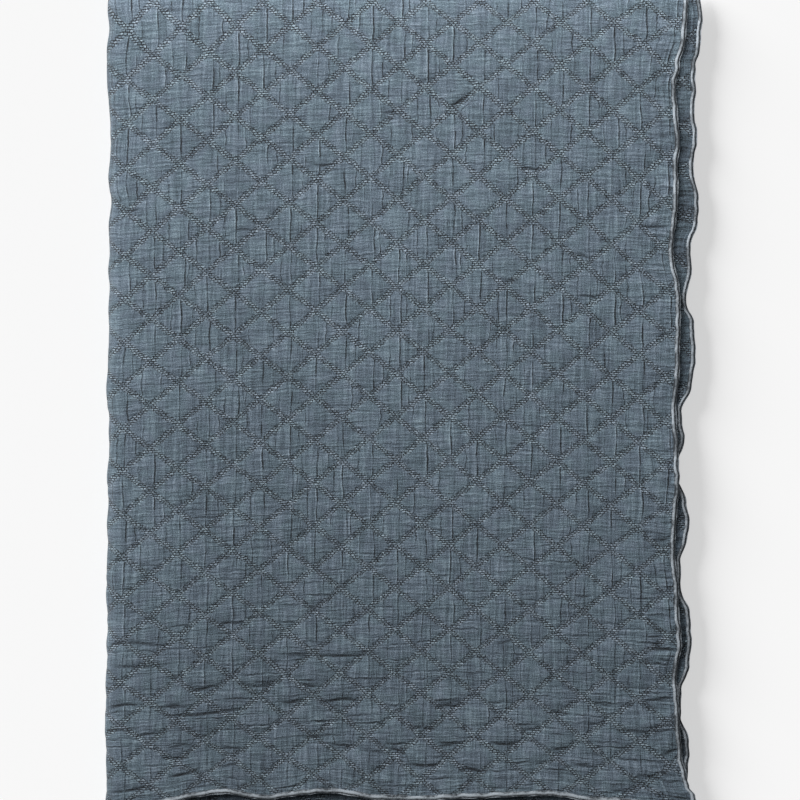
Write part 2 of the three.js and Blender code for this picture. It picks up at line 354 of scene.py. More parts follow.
class LampKind(Enum):
    """A window so far off that its light comes from one side, or a panel close to the cloth."""

    WINDOW = "SUN"
    PANEL = "AREA"


class Lamp(NamedTuple):
    """A lamp: a window has its width as an angle, and a panel its width and depth in metres."""

    name: str
    kind: LampKind
    strength: float
    sizes: tuple[float, ...]
    place: tuple[float, float, float]
    at: tuple[float, float, float]
    lights: Lit


# The window stands lower for the floor than for the cloth, which makes the photo's long soft shadow.
# The panels are a lamp beyond the end fold, and a strip close over each fold.
LAMPS = (
    Lamp("window_on_floor", LampKind.WINDOW, 3.82, (28.0,), (-0.7, 0.5, 0.255), (0.0, 0.0, 0.0), Lit.FLOOR),
    Lamp("window", LampKind.WINDOW, 2.92, (36.0,), (-0.7, 0.5, 0.52), (0.0, 0.0, 0.0), Lit.CLOTH),
    Lamp("head_lamp", LampKind.PANEL, 10.2, (1.0, 0.5), (-0.15, 0.75, 0.9), (0.0, 0.25, 0.0), Lit.CLOTH),
    Lamp("end_strip", LampKind.PANEL, 0.13, (0.8, 0.04), (0.0, 0.469, 0.075), (0.0, 0.469, 0.0), Lit.CLOTH),
    Lamp("fold_strip", LampKind.PANEL, 0.12, (0.08, 0.9), (-0.36, 0.0, 0.12), (-0.36, 0.0, 0.0), Lit.CLOTH),
)


def hem_value(table: tuple[HemRow, ...], column: str, along: np.ndarray) -> np.ndarray:
    """A column of a hem's table, eased from row to row.

    Args:
        table: The hem's rows, in order along it.
        column: The name of the column.
        along: Places along the hem, in millimetres.

    Returns:
        The column's value at each place.
    """
    places = np.array([row.along for row in table], float)
    values = np.array([getattr(row, column) for row in table], float)
    before = np.clip(np.searchsorted(places, along, side="right") - 1, 0, len(table) - 2)
    share = (along - places[before]) / (places[before + 1] - places[before])
    return mix(values[before], values[before + 1], ease(share))


@dataclass(frozen=True)
class Quilting:
    """The woven diamonds, whose seams run corner to corner, and how they lie skew on the top."""

    across: float = 60.5
    down: float = 48.4
    crossing_x: float = -9.0
    crossing_y: float = -20.0
    half_width: float = 320.0
    half_length: float = 450.0
    lean: float = 3.1  # how far the columns lean over half the length
    curve: float = 1.0  # and how far they curve
    crowd: float = 2.3  # how far the columns crowd towards the side fold
    bow: float = 10.2  # how far the rows hang towards the near end at both sides
    tilt: float = 4.0  # how far the rows rise over half the width
    twist: float = 4.3  # how much more they do so at the far end
    spread: float = 8.7  # how far the rows are drawn towards the far end at both ends
    rise: float = 2.6  # how steeply a diamond rises from its seams

    def skew(self, x: np.ndarray, y: np.ndarray) -> tuple[np.ndarray, np.ndarray]:
        """How far the quilting at places of an even net is moved.

        Args:
            x: The places' X on the net.
            y: Their Y.

        Returns:
            How far each is moved across, and how far along.
        """
        a, b = x / self.half_width, y / self.half_length
        across = self.lean * b + self.curve * b * b - self.crowd * a * a
        along = self.spread * b * b + self.tilt * a + self.twist * a * b - self.bow * a * a
        return across, along

    def phases(self, x: np.ndarray, y: np.ndarray) -> tuple[np.ndarray, np.ndarray]:
        """Places on the even net, counted in diamonds across and down from one crossing."""
        return (x - self.crossing_x) / self.across, (y - self.crossing_y) / self.down

    def pillow(self, x: np.ndarray, y: np.ndarray) -> np.ndarray:
        """The share of the full puff at places of the even net.

        Args:
            x: The places' X on the net.
            y: Their Y.

        Returns:
            The share, which is 0 on a seam and 1 in the middle of a diamond.
        """
        across, down = self.phases(x, y)
        rise = 1.0
        for seam in (across + down, across - down):
            from_seam = np.abs(seam - np.round(seam)) * 2.0
            rise = rise * (1.0 - (1.0 - from_seam) ** self.rise)
        return rise

    def net_lines(self, first: float, last: float, crossing: float, pitch: float, steps: int) -> np.ndarray:
        """Places from first to last, both with them, that fall on the net's lines.

        Args:
            first: The lowest place.
            last: The highest place.
            crossing: A place of a crossing.
            pitch: From crossing to crossing.
            steps: How many steps half a pitch takes.

        Returns:
            The places, from the lowest to the highest.
        """
        step = pitch / 2.0 / steps
        counts = np.arange(math.ceil((first - crossing) / step), math.floor((last - crossing) / step) + 1)
        inner = crossing + counts * step
        inner = inner[(inner > first + 0.4 * step) & (inner < last - 0.4 * step)]
        return np.concatenate([[first], inner, [last]])


@dataclass(frozen=True)
class Folding:
    """How the cloth is folded and lies: its place in space for every place on the panel."""

    thick: float = 2.4  # of the cloth along a seam
    puff: float = 1.2  # how far the middle of a diamond stands above its seams
    layer_gap: float = 1.6  # the air between a front layer and its back layer
    seam_height: float = 16.8  # of the top's seams above the floor, away from the side fold
    fold_radius: float = 14.0  # of those seams, round the side fold
    slope: float = 260.0  # the length over which the top comes down from the side fold
    fold_side: float = -332.0  # the outermost place of the side fold, in X
    fold_end: float = 463.0  # and of the end fold, in Y
    hem_side: float = 308.0  # the middle place of the top layer's side hem, in X
    ripple_reach: float = 75.0  # how far in from a hem its ripples reach
    lower_side: float = 301.0  # the lower layers' side hem, in X
    lower_front_end: float = -450.0  # the lower front layer's end hem, in Y
    lower_back_end: float = -464.0  # and the lower back layer's
    roll_out: float = 5.3  # from the cloth's edge to the rim of its edging
    skew_fades: float = 250.0  # the length past the side fold over which the skew dies out
    end_reach: float = 70.0  # the length before the end fold over which its line comes straight
    row_start: float = -449.6  # the panel's end hem and its middle, on the even net
    row_end: float = 453.5
    turn_length: float = 6.3  # the cloth's length round the end fold
    quilting: Quilting = field(default_factory=Quilting)

    @property
    def outside(self) -> float:
        """The outer face's distance from the middle of a front layer and its back layer."""
        return self.thick + self.layer_gap / 2.0

    @property
    def inside(self) -> float:
        """The inner face's distance from that middle."""
        return self.layer_gap / 2.0

    @property
    def hem_x(self) -> float:
        """The cloth's own edge at the side hem."""
        return self.hem_side - self.roll_out

    @property
    def fold_x(self) -> float:
        """The axis of the side fold."""
        return self.fold_side + self.puff + self.fold_radius

    @property
    def end_y(self) -> float:
        """The axis of the end fold."""
        return self.fold_end - self.puff - self.outside

    @property
    def top_run(self) -> float:
        """The way from the top side hem to the side fold."""
        return self.hem_x - self.fold_x

    @property
    def fold_run(self) -> float:
        """The way round the side fold."""
        return math.pi * self.fold_radius

    @property
    def whole_run(self) -> float:
        """The way from the top side hem to the lower one."""
        return self.top_run + self.fold_run + self.lower_side - self.roll_out - self.fold_x

    def top_height(self, x: np.ndarray) -> np.ndarray:
        """The height of the top's seams."""
        at_fold = self.puff + 2.0 * self.fold_radius
        return mix(at_fold, self.seam_height, ease((x - self.fold_x) / self.slope))

    def net_place(self, run: np.ndarray, y: np.ndarray, turn: np.ndarray) -> tuple[np.ndarray, np.ndarray]:
        """A place of the panel on the quilting's even net, which goes on round both folds."""
        back = np.where(turn > 0.0, turn * self.turn_length + (self.row_end - y), 0.0)
        return self.hem_x - run, np.where(turn > 0.0, self.row_end + back, y)

    def settle(self, run: np.ndarray, y: np.ndarray) -> tuple[np.ndarray, np.ndarray]:
        """Where places of the even net come to, skewed as the quilting lies.

        Args:
            run: The way from the top side hem.
            y: The place along the panel.

        Returns:
            The way round the side fold, and the place in Y.
        """
        skewed = 1.0 - ease((run - self.top_run) / self.skew_fades)
        x = np.maximum(self.hem_x - run, self.fold_x)
        across, along = self.quilting.skew(x, y)
        _, along_end = self.quilting.skew(x, np.full_like(y, self.row_end))
        to_fold = self.end_y - (self.row_end + along_end * skewed)
        y_settled = y + along * skewed + to_fold * near(self.row_end - y, self.end_reach)
        return run - across * skewed, y_settled

    def hem_shift(
        self, run: np.ndarray, y: np.ndarray, turn: np.ndarray, x: np.ndarray, y_settled: np.ndarray
    ) -> tuple[np.ndarray, np.ndarray, np.ndarray]:
        """How far the hems and their ripples move points of the cloth.

        Args:
            run: The way from the top side hem, on the even net.
            y: The place along the panel, on that net.
            turn: The turn round the end fold.
            x: Where the folds put the point in X.
            y_settled: Where the skew puts it in Y.

        Returns:
            The shifts in X, Y and Z.
        """
        back = ease(turn)
        upper = 1.0 - ease((run - self.top_run) / self.fold_run)
        from_side = near(np.minimum(run, self.whole_run - run), self.ripple_reach)
        from_end = near(y - self.row_start, self.ripple_reach)

        def side(column: str) -> np.ndarray:
            """What the upper layers' side hems say, from the front one's to the back one's."""
            front = hem_value(FRONT_SIDE_HEM, column, y_settled)
            return mix(front, hem_value(BACK_SIDE_HEM, column, y_settled), back)

        def end(column: str) -> np.ndarray:
            """What their end hems say."""
            return mix(hem_value(FRONT_END_HEM, column, x), hem_value(BACK_END_HEM, column, x), back)

        rim_run, _ = self.settle(np.zeros_like(run), y)
        _, rim_y = self.settle(run, np.full_like(y, self.row_start))
        lower_end = mix(self.lower_front_end, self.lower_back_end, back)
        shift_x = (side("out") - self.roll_out - (self.hem_x - rim_run)) * from_side * upper
        from_fold = near(np.abs(run - self.top_run - self.fold_run / 2.0), self.ripple_reach)
        shift_x = shift_x + (hem_value(SIDE_FOLD, "out", y_settled) - self.fold_side) * from_fold
        shift_y = (mix(lower_end, end("out"), upper) + self.roll_out - rim_y) * from_end
        shift_z = (side("up") * from_side + end("up") * from_end * (1.0 - from_side)) * upper
        return shift_x, shift_y, shift_z

    def lie(self, run: Number, y: Number, turn: Number, spread: Number, relief: Number) -> np.ndarray:
        """Points of the folded cloth.

        Args:
            run: The way from the top side hem, round the side fold, to the lower side hem.
            y: The place along the panel, on the quilting's even net.
            turn: The turn round the end fold, 0 on the front and 1 on the back.
            spread: The distance from the middle of the front layer and its back layer.
            relief: How far the top layer's outer side is raised.

        Returns:
            One point for each place, with X, Y and Z along the last axis.
        """
        run, y, turn, spread, relief = np.broadcast_arrays(run, y, turn, spread, relief)
        run_settled, y_settled = self.settle(run, y)
        past = run_settled - self.top_run
        angle = np.clip(past / self.fold_radius, 0.0, math.pi)
        out_x, out_z = -np.sin(angle), np.cos(angle)
        past_fold = np.maximum(past - self.fold_run, 0.0)
        flat_x = np.where(past < 0.0, self.fold_x - past, self.fold_x + past_fold)
        seam_x = flat_x + self.fold_radius * out_x
        round_z = self.puff + self.fold_radius * (1.0 + out_z)
        seam_z = np.where(past < 0.0, self.top_height(flat_x), round_z)

        depth = self.outside - spread * np.cos(turn * math.pi) - relief
        x = seam_x - depth * out_x
        z = seam_z - depth * out_z
        shift_x, shift_y, shift_z = self.hem_shift(run, y, turn, x, y_settled)
        y_turned = y_settled + spread * np.sin(turn * math.pi)
        return np.stack([x + shift_x, y_turned + shift_y, z + shift_z], axis=-1)

    def pressed_flat(self, run: np.ndarray, y: np.ndarray) -> np.ndarray:
        """How flat the layers above press the underside, away from its rim.

        Args:
            run: The way from the top side hem.
            y: The place along the panel.

        Returns:
            The share: 0 is free, and 1 is flat.
        """
        under = run - self.top_run - self.fold_run
        from_rim = np.minimum.reduce([under, self.whole_run - run, y - self.row_start, self.row_end - y])
        flat = ease((from_rim - self.quilting.down / 2.0) / (self.quilting.across / 2.0))
        return np.where(under < 0.0, 0.0, flat)


class Layer(Enum):
    """The two faces of the cloth."""

    OUTER = "outer"
    INNER = "inner"


def make_mesh(name: str, points: np.ndarray, faces: np.ndarray) -> bpy.types.Object:
    """A new object from points in millimetres about the place where the cloth is measured.

    Args:
        name: The piece's name.
        points: One row for each point.
        faces: One row of three corners for each triangle, counterclockwise from outside.

    Returns:
        The object, at the origin of the frame, smooth but for its sharp edges.
    """
    placed = (points + np.array([*ORIGIN, 0.0])) * MM
    placed[:, 2] = np.maximum(placed[:, 2], 0.0)  # what it lies on presses its underside flat
    mesh = bpy.data.meshes.new(name)
    mesh.from_pydata(placed.tolist(), [], faces.tolist())
    mesh.update()
    piece = bpy.data.objects.new(name, mesh)
    bpy.context.scene.collection.objects.link(piece)
    bpy.ops.object.select_all(action="DESELECT")
    piece.select_set(True)
    bpy.context.view_layer.objects.active = piece
    bpy.ops.object.shade_smooth_by_angle(angle=math.radians(SHARP_ANGLE))
    return piece


def add_map(piece: bpy.types.Object, name: str, places: np.ndarray) -> None:
    """Gives a piece a UV map.

    Args:
        piece: The piece.
        name: The map's name.
        places: A place on the map for each of the piece's points.
    """
    mesh = piece.data
    corners = np.empty(len(mesh.loops), np.int32)
    mesh.loops.foreach_get("vertex_index", corners)
    layer = mesh.uv_layers.new(name=name)
    layer.uv.foreach_set("vector", places[corners].astype(np.float32).ravel())


def add_attribute(piece: bpy.types.Object, name: str, values: np.ndarray) -> None:
    """Gives a piece a number for each of its points."""
    made = piece.data.attributes.new(name, "FLOAT", "POINT")
    made.data.foreach_set("value", values.astype(np.float32))


Given = bpy.types.Node | bpy.types.NodeSocket | float | tuple  # what goes into a node's socket


@dataclass(frozen=True)
class Tree:
    """The nodes of one material."""

    material: bpy.types.Material

    @classmethod
    def new(cls, name: str) -> "Tree":
        """An empty material that uses nodes.

        Args:
            name: The finish's name.

        Returns:
            The material's nodes, of which there are none yet.
        """
        material = bpy.data.materials.new(name)
        material.use_nodes = True
        material.node_tree.nodes.clear()
        return cls(material)

    def add(self, kind: str, *inputs: Given | dict[str, Given], **settings: str | bool) -> bpy.types.Node:
        """Adds a node, with its settings and links.

        Args:
            kind: The node's type, without its ShaderNode.
            inputs: What goes into its sockets, in order: a node, a socket or a value. A dict at the
                end names sockets.
            settings: The node's own properties.

        Returns:
            The node.
        """
        node = self.material.node_tree.nodes.new("ShaderNode" + kind)
        for setting, value in settings.items():
            setattr(node, setting, value)
        sockets = [socket for socket in node.inputs if socket.enabled]
        named = inputs[-1] if inputs and isinstance(inputs[-1], dict) else {}
        places = [(sockets[i], given) for i, given in enumerate(inputs) if not isinstance(given, dict)]
        places += [(next(s for s in sockets if s.name == label), given) for label, given in named.items()]
        for socket, given in places:
            if isinstance(given, bpy.types.Node):
                given = next(output for output in given.outputs if output.enabled)
            if isinstance(given, bpy.types.NodeSocket):
                self.material.node_tree.links.new(given, socket)
            else:
                socket.default_value = given
        return node

    def math(self, operation: str, *inputs: Given) -> bpy.types.Node:
        """Adds one step of arithmetic on numbers."""
        return self.add("Math", *inputs, operation=operation)

    def vector(self, operation: str, *inputs: Given | dict[str, Given]) -> bpy.types.Node:
        """Adds one step of arithmetic on vectors."""
        return self.add("VectorMath", *inputs, operation=operation)

    def ramp(self, value: Given, *ends: Given, smooth: bool = False) -> bpy.types.Node:
        """Adds a range: from two values that go in, to the two that come out for them."""
        return self.add("MapRange", value, *ends, interpolation_type="SMOOTHSTEP" if smooth else "LINEAR")

    def noise(self, place: Given, scale: float, detail: float, roughness: float = 0.5) -> bpy.types.Node:
        """Adds noise over a plane."""
        sockets = {"Vector": place, "Scale": scale, "Detail": detail, "Roughness": roughness}
        return self.add("TexNoise", sockets, noise_dimensions="2D")

    def drift(self, place: Given, scale: float) -> bpy.types.Node:
        """Adds noise in three parts, each of which goes both ways from 0."""
        return self.vector("SUBTRACT", self.noise(place, scale, 2.0).outputs["Color"], (0.5, 0.5, 0.5))

    def weigh(self, total: Given, *parts: tuple[Given, float]) -> Given:
        """Adds parts to a total, each times its weight.

        Args:
            total: What the parts are added to.
            parts: Each part with its weight, in the order in which they are added.

        Returns:
            The new total.
        """
        for part, weight in parts:
            total = self.math("MULTIPLY_ADD", part, weight, total)
        return total


@dataclass(frozen=True)
class QuiltedGauze:
    """Double-weave cotton gauze, washed and crinkled: the two thin cloths are woven together along
    the seams of the diamonds. It gives the eye a matt heathered grey blue, thin pleats that run down
    the diamonds, and seams of short floats like little dashes. Painted shade darkens the pleats, the
    main creases, the gaps round the floats, the sunk puckers and the back half; painted light
    brightens the floats, a ridge beside each pleat and the raised puckers. Lengths are in millimetres."""

    middle: str = "54646f"
    dark: str = "121a20"
    light: str = "90a2ad"
    middle_at: float = 0.45  # the tone that has the middle colour
    warmth: str = "fffafe"  # what tints the patches that are dyed a little warmer
    roughness: float = 0.92
    sheen: float = 0.12
    stray: float = 3.2  # how far the pattern strays from its net
    float_wide: float = 4.1
    float_high: float = 2.4  # real floats are about half as high, and would be too fine to show
    float_gap: float = 0.56  # the gap round a float, darkened with painted shade
    float_tone: float = 0.48  # what parts the floats, lit with painted light, from their gaps of painted shade
    band: float = 3.2  # half the width of a seam's band
    band_soft: tuple[float, float] = (0.6, 1.8)  # how far inside its sides it starts, and is full
    ragged: float = 2.4  # how ragged the band's sides and its floats are
    back_share: float = 0.25  # what the back half has of the front's pleats and of its painted light, which leaves painted shade on the back
    pucker_side: float = 55.0  # how far in from the side hem it puckers
    pucker_end: float = 50.0  # and from the end hem
    crease_wide: float = 3.0  # half the width of the painted shade along a crease
    folding: Folding = field(default_factory=Folding)
    # How far each part of the surface raises it
    heights: tuple[tuple[str, float], ...] = (
        ("mark", 0.8),
        ("streaks", 1.6),
        ("picks", 1.5),
        ("heather", 0.45),
        ("fold_line", -0.9),
        ("ridge", 0.45),
        ("band", -0.7),
        ("pucker", 3.8),
    )
    ground: float = -0.762  # the tone before its parts are added: 0 is dark and 1 is light
    # How much lighter each part makes the cloth
    tones: tuple[tuple[str, float], ...] = (
        ("streaks", 0.55),
        # painted shade on the back half, which lies under the front
        ("on_front", 0.19),
        ("picks", 0.6),
        ("heather", 0.8),
        ("cloud", 0.12),
        # painted light on raised puckers and painted shade in sunk ones
        ("pucker", 0.5),
        # painted light on the floats and painted shade in the gaps round them
        ("gap", 0.95),
        # painted shade in the pleats and main creases
        ("fold_line", -0.5),
        # painted highlight on a ridge beside each pleat
        ("ridge", 0.34),
    )

    def diamonds(self, tree: Tree, across: Given, along: Given) -> dict[str | Stands, bpy.types.Node]:
        """How the quilting lies round a place.

        Args:
            tree: The material's nodes.
            across: The way from the side hem.
            along: The way from the end hem.

        Returns:
            The distance to the nearest seam, the number of the diamond, and the place in it, to the
            right of and above its middle.
        """
        net = self.folding.quilting
        a = tree.math("SUBTRACT", across, self.folding.hem_x - net.crossing_x)
        a = tree.math("DIVIDE", a, -net.across)
        b = tree.math("ADD", along, self.folding.row_start - net.crossing_y)
        b = tree.math("DIVIDE", b, net.down)
        apart = 1.0 / math.hypot(1.0 / net.across, 1.0 / net.down)
        distances, numbers, shares = [], [], []
        for way in ("ADD", "SUBTRACT"):
            seam = tree.math(way, a, b)
            from_seam = tree.math("PINGPONG", seam, 0.5)
            distances.append(tree.math("MULTIPLY", from_seam, apart))
            numbers.append(tree.math("FLOOR", seam))
            shares.append(tree.math("FRACT", seam))
        right = tree.math("SUBTRACT", tree.math("ADD", *shares), 1.0)
        above = tree.math("SUBTRACT", *shares)
        return {
            "seam": tree.math("SMOOTH_MIN", *distances, 2.0),
            "number": tree.add("CombineXYZ", *numbers),
            Stands.RIGHT: tree.math("MULTIPLY", right, net.across / 2.0),
            Stands.ABOVE: tree.math("MULTIPLY", above, net.down / 2.0),
        }

    def weave(self, tree: Tree, panel: Given) -> dict[str, bpy.types.Node]:
        """The cloth's threads, as unevenness of four kinds.

        Args:
            tree: The material's nodes.
            panel: The place on the panel.

        Returns:
            The streaks down the cloth, the picks across it, the yarn's heather, and soft clouds.
        """
        down = tree.vector("MULTIPLY", panel, (1.0, 0.075, 0.0))
        across = tree.vector("MULTIPLY", panel, (0.07, 1.0, 0.0))
        return {
            "streaks": tree.noise(down, 0.24, 3.0, 0.65),
            "picks": tree.noise(across, 0.42, 2.0, 0.65),
            "heather": tree.noise(panel, 0.9, 1.0, 0.7),
            "cloud": tree.noise(panel, 0.018, 2.0),
        }

    def floats(self, tree: Tree, panel: Given, heather: bpy.types.Node) -> bpy.types.Node:
        """The floats along the seams, as bricks pale with painted light in gaps dark with painted shade.

        Args:
            tree: The material's nodes.
            panel: The place on the panel.
            heather: The yarn's heather, which frays them.

        Returns:
            How pale the place would be if it lay on a seam.
        """
        frayed = tree.vector("MULTIPLY_ADD", heather.outputs["Color"], (self.ragged, 1.3, 0.0), panel)
        return tree.add(
            "TexBrick",
            {
                "Vector": frayed,
                "Color1": (1.0, 1.0, 1.0, 1.0),
                "Color2": (0.5, 0.5, 0.5, 1.0),
                "Mortar": (0.0, 0.0, 0.0, 1.0),
                "Scale": 1.0,
                "Mortar Size": self.float_gap,
                "Mortar Smooth": 0.4,
                "Brick Width": self.float_wide,
                "Row Height": self.float_high,
            },
        )

    def pleat_lines(
        self,
        tree: Tree,
        diamond: dict[str | Stands, bpy.types.Node],
        slow: Given,
        fades: dict[Stands, Given],
    ) -> tuple[Given, Given]:
        """The pleats through each diamond: lines of painted shade, and ridges of painted light beside them.

        Args:
            tree: The material's nodes.
            diamond: How the quilting lies round a place.
            slow: Slow noise, by whose three parts the pleats wander and come and go.
            fades: The share of its full strength that a pleat of either kind has.

        Returns:
            The strengths of the lines' painted shade and the ridges' painted light, also used as bumps.
        """
        dark = ridge = 0.0
        wander = tree.add("SeparateXYZ", slow)
        for i, pleat in enumerate(PLEATS):
            draw = tree.vector("ADD", diamond["number"], (7.3 * i + 1.7, 3.1 * i, 0.0))
            draw = tree.add("TexWhiteNoise", {"Vector": draw}, noise_dimensions="2D").outputs["Color"]
            draw = tree.add("SeparateXYZ", draw)
            line = tree.math("MULTIPLY", draw.outputs["X"], -pleat.vary)
            line = tree.math("ADD", line, diamond[pleat.stands])
            line = tree.math("SUBTRACT", line, pleat.at - pleat.vary / 2.0)
            line = tree.weigh(line, (wander.outputs[i % 3], pleat.wander))
            absent = 1.0 - pleat.present
            strong = tree.ramp(draw.outputs["Y"], absent, absent + 0.3, 0.0, pleat.dark)
            lasting = tree.ramp(wander.outputs[(i + 1) % 3], -0.14, 0.06, 0.3, 1.0)
            strong = tree.math("MULTIPLY", strong, lasting)
            strong = tree.math("MULTIPLY", strong, fades[pleat.stands])
            core = tree.ramp(tree.math("ABSOLUTE", line), pleat.wide, 0.2, 0.0, strong, smooth=True)
            beside = tree.math("ABSOLUTE", tree.math("ADD", line, pleat.wide + 0.4))
            crest = tree.math("MULTIPLY", strong, draw.outputs["Z"])
            crest = tree.ramp(beside, 1.2, 0.2, 0.0, crest, smooth=True)
            dark = tree.math("MAXIMUM", dark, core)
            ridge = tree.math("MAXIMUM", ridge, crest)
        return dark, ridge

    def crease_line(self, tree: Tree, streaks: Given) -> bpy.types.Node:
        """The painted shade along a main crease.

        Args:
            tree: The material's nodes.
            streaks: The streaks down the cloth, which break the line.

        Returns:
            The line's strength.
        """
        way = tree.add("Attribute", attribute_name="crease_way").outputs["Fac"]
        deep = tree.add("Attribute", attribute_name="crease_depth").outputs["Fac"]
        line = tree.ramp(tree.math("ABSOLUTE", way), self.crease_wide, 0.0, 0.0, deep, smooth=True)
        return tree.math("MULTIPLY", line, tree.ramp(streaks, 0.3, 0.65, 0.4, 1.2))

    def pucker(self, tree: Tree, panel: Given, across: Given, along: Given) -> bpy.types.Node:
        """The puckers that the edging draws into the upper hems.

        Args:
            tree: The material's nodes.
            panel: The place on the panel.
            across: The way from the side hem.
            along: The way from the end hem.

        Returns:
            How high the place stands or lies, both ways from 0.
        """
        by_side = tree.ramp(across, self.pucker_side, 0.0, 0.0, 1.0)
        by_end = tree.ramp(along, self.pucker_end, 0.0, 0.0, 0.8)
        by_hem = tree.math("MAXIMUM", by_side, by_end)
        waves = tree.noise(tree.vector("MULTIPLY", panel, (0.035, 0.15, 0.0)), 1.0, 2.0)
        return tree.math("MULTIPLY", tree.math("SUBTRACT", waves, 0.5), by_hem)

    def colour(self, tree: Tree, tone: Given, slow: Given) -> bpy.types.Node:
        """The yarn's colour, from dark through the middle to light.

        Args:
            tree: The material's nodes.
            tone: How light the place is.
            slow: Slow noise, by whose third part patches are warmer.

        Returns:
            The colour.
        """
        blend = tree.add("ValToRGB", tone)
        first, last = blend.color_ramp.elements
        first.position = 0.0
        first.color = to_linear(self.dark)
        last.position = 1.0
        last.color = to_linear(self.light)
        blend.color_ramp.elements.new(self.middle_at).color = to_linear(self.middle)
        warmer = tree.ramp(tree.add("SeparateXYZ", slow).outputs["Z"], -0.1, 0.1, 0.0, 1.0)
        return tree.add(
            "Mix", warmer, blend, to_linear(self.warmth), data_type="RGBA", blend_type="MULTIPLY"
        )

    def make(self) -> bpy.types.Material:
        """Makes the material, whose patterns follow the panel's own map.

        Returns:
            The material.
        """
        tree = Tree.new("quilted_double_gauze")
        flat = tree.vector("SCALE", tree.add("UVMap", uv_map="panel"), {"Scale": 1.0 / MM})
        slow = tree.drift(flat, 0.045)
        panel = tree.vector("MULTIPLY_ADD", tree.drift(flat, 0.09), (self.stray, self.stray, 0.0), flat)
        split = tree.add("SeparateXYZ", panel)
        across, along = split.outputs["X"], split.outputs["Y"]
        parts = self.weave(tree, panel)
        diamond = self.diamonds(tree, across, along)

        ragged = tree.weigh(diamond["seam"], (parts["heather"], -self.ragged))
        band = tree.ramp(ragged, *(self.band - inside for inside in self.band_soft), 0.0, 1.0)
        floats = self.floats(tree, panel, parts["heather"])

        # The back half, beyond the end fold, is darker with painted shade and has plainer pleats
        front = self.folding.row_end - self.folding.row_start
        on_front = tree.ramp(along, front + 6.0, front, self.back_share, 1.0)
        pleated = tree.math("MULTIPLY", tree.math("SUBTRACT", 1.0, band), on_front)

        # The level pleats grow towards the near end, and the upright ones fade there
        nearer = tree.ramp(along, 400.0, 110.0, 0.45, 1.6)
        fades = {
            Stands.ABOVE: tree.math("MULTIPLY", nearer, tree.ramp(parts["streaks"], 0.3, 0.7, 0.2, 1.0)),
            Stands.RIGHT: tree.ramp(along, 300.0, 60.0, 1.0, 0.45),
        }
        pleat, ridge = self.pleat_lines(tree, diamond, slow, fades)
        pleat = tree.math("MULTIPLY", pleat, pleated)
        gap = tree.math("SUBTRACT", floats, self.float_tone)
        parts |= {
            "band": band,
            "mark": tree.math("MULTIPLY", floats, band),
            "gap": tree.math("MULTIPLY", gap, band),
            "on_front": on_front,
            "fold_line": tree.math("MAXIMUM", pleat, self.crease_line(tree, parts["streaks"])),
            "ridge": tree.math("MULTIPLY", ridge, pleated),
            "pucker": self.pucker(tree, panel, across, along),
        }
        height = tree.weigh(0.0, *((parts[name], weight) for name, weight in self.heights))
        # The tone paints shade into the pleats, creases, float gaps, sunk puckers and the back half, and
        # light onto the floats, the pleats' ridges and the raised puckers
        tone = tree.weigh(self.ground, *((parts[name], weight) for name, weight in self.tones))
        shader = tree.add(
            "BsdfPrincipled",
            {
                "Base Color": self.colour(tree, tone, slow),
                "Roughness": self.roughness,
                "Sheen Weight": self.sheen,
                "Sheen Roughness": 0.5,
                "Normal": tree.add("Bump", {"Strength": 1.0, "Distance": MM, "Height": height}),
            },
        )
        tree.add("OutputMaterial", shader)
        return tree.material


